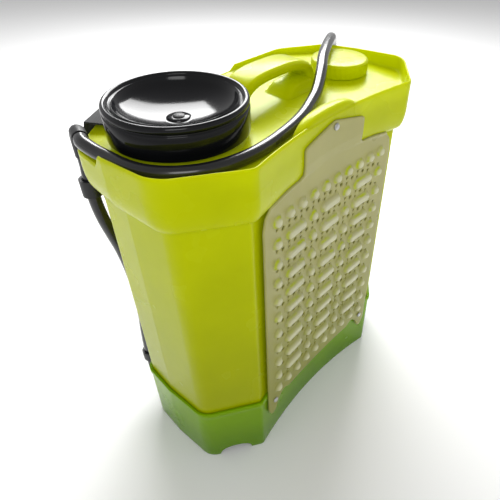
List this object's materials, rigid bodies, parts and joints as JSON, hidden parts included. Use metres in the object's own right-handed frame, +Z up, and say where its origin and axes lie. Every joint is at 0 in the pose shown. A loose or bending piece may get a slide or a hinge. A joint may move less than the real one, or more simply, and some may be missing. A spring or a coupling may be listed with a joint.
{
  "type": "backpack sprayer",
  "caption": "Battery backpack sprayer: translucent yellow-green tank on a darker base, black filler lid, ventilated back pad, hose and spray gun",
  "frame": {"origin": "on the floor under the middle of the tank, hoses left out", "axes": "+Z up; +X from the filler lid's end to the small cap's end; the back pad faces -Y"},
  "size_m": [0.4463, 0.244, 0.4905],
  "materials": {
    "tank_plastic": "translucent yellow-green blow-moulded polyethylene, softly glossy",
    "base_plastic": "darker green translucent plastic, softly glossy",
    "pad_plastic": "natural off-white translucent plastic",
    "lid_plastic": "glossy black",
    "black_plastic": "black, lightly textured",
    "red_plastic": "glossy red",
    "hose_rubber": "smooth glossy black hose",
    "seal_rubber": "matt black rubber",
    "webbing": "black woven webbing",
    "steel": "zinc-plated steel",
    "brass": "turned brass",
    "lens_plastic": "dark clear display window",
    "mesh_plastic": "white moulded strainer"
  },
  "bodies": {
    "sprayer": {"tank": "tank_plastic", "base": "base_plastic", "back_pad": "pad_plastic", "base_cover": "black_plastic", "battery_pack": "black_plastic", "control_panel": "black_plastic", "gun_body": "black_plastic", "gun_clip": "black_plastic", "gun_inlet_nut": "black_plastic", "gun_outlet_nut": "black_plastic", "outlet_fitting": "black_plastic", "outlet_lock_nut": "black_plastic", "pump_head": "black_plastic", "rim_elbow": "black_plastic", "riser_clip": "black_plastic", "riser_nut": "black_plastic", "speed_controller": "black_plastic", "strap_anchor_left": "black_plastic", "strap_anchor_right": "black_plastic", "strap_plate_left": "black_plastic", "strap_plate_right": "black_plastic", "strap_slider_left": "black_plastic", "strap_slider_right": "black_plastic", "switch_housing": "black_plastic", "delivery_hose": "hose_rubber", "riser_hose": "hose_rubber", "spray_hose": "hose_rubber", "suction_sleeve": "seal_rubber", "strap_left": "webbing", "strap_right": "webbing", "strap_tail_left": "webbing", "strap_tail_right": "webbing", "battery_bracket": "steel", "charge_socket": "steel", "cover_screw_1": "steel", "cover_screw_2": "steel", "cover_screw_3": "steel", "cover_screw_4": "steel", "pad_screw_top": "steel", "pad_screw_left": "steel", "pad_screw_right": "steel", "pump_motor": "steel", "trigger_pin": "steel", "charge_meter": "lens_plastic", "strainer_basket": "mesh_plastic"},
    "lid_seal": {"lid_gasket": "seal_rubber"},
    "lid": {"filler_lid": "lid_plastic"},
    "vent": {"vent_valve": "black_plastic"},
    "port": {"port_cap": "tank_plastic", "port_gasket": "seal_rubber"},
    "switch": {"rocker": "red_plastic"},
    "knob": {"pressure_knob": "black_plastic"},
    "charge_flap": {"socket_cover": "seal_rubber"},
    "trigger": {"gun_trigger": "black_plastic"},
    "stem": {"valve_stem": "brass"},
    "catch": {"trigger_lock": "red_plastic"}
  },
  "joints": [
    {"name": "lid_lift", "type": "slide", "parent": "sprayer", "child": "lid_seal", "axis": [0, 0, 1], "range_m": [0, 0.0075]},
    {"name": "lid_turn", "type": "hinge", "parent": "lid_seal", "child": "lid", "pos_m": [-0.1145, -0.002, 0.474], "axis": [0, 0, 1], "range_deg": [0, 450]},
    {"name": "vent_lift", "type": "slide", "parent": "lid", "child": "vent", "axis": [0, 0, 1], "range_m": [0, 0.0015]},
    {"name": "port_cap_turn", "type": "hinge", "parent": "sprayer", "child": "port", "pos_m": [0.1455, -0.011, 0.448], "axis": [0, 0, 1], "range_deg": [0, 90]},
    {"name": "switch_rock", "type": "hinge", "parent": "sprayer", "child": "switch", "pos_m": [-0.033, 0.0883, 0.054], "axis": [1, 0, 0], "range_deg": [-8, 8]},
    {"name": "knob_turn", "type": "hinge", "parent": "sprayer", "child": "knob", "pos_m": [0.007, 0.0893, 0.049], "axis": [0, -1, 0], "range_deg": [0, 270]},
    {"name": "flap_open", "type": "hinge", "parent": "sprayer", "child": "charge_flap", "pos_m": [0.045, 0.0928, 0.067], "axis": [1, 0, 0], "range_deg": [0, 100]},
    {"name": "trigger_pull", "type": "hinge", "parent": "sprayer", "child": "trigger", "pos_m": [0.0456, 0.109, 0.392], "axis": [0, -1, 0], "range_deg": [0, 4.5], "stiffness_Nm_per_rad": 1.5},
    {"name": "stem_push", "type": "slide", "parent": "sprayer", "child": "stem", "axis": [1, 0, 0], "range_m": [0, 0.00134]},
    {"name": "catch_slide", "type": "slide", "parent": "sprayer", "child": "catch", "axis": [0, 0, 1], "range_m": [0, 0.012]}
  ],
  "couplings": [
    {"joint": "lid_lift", "follows": "lid_turn", "m_per_rad": 0.00095493},
    {"joint": "stem_push", "follows": "trigger_pull", "m_per_rad": 0.017}
  ]
}
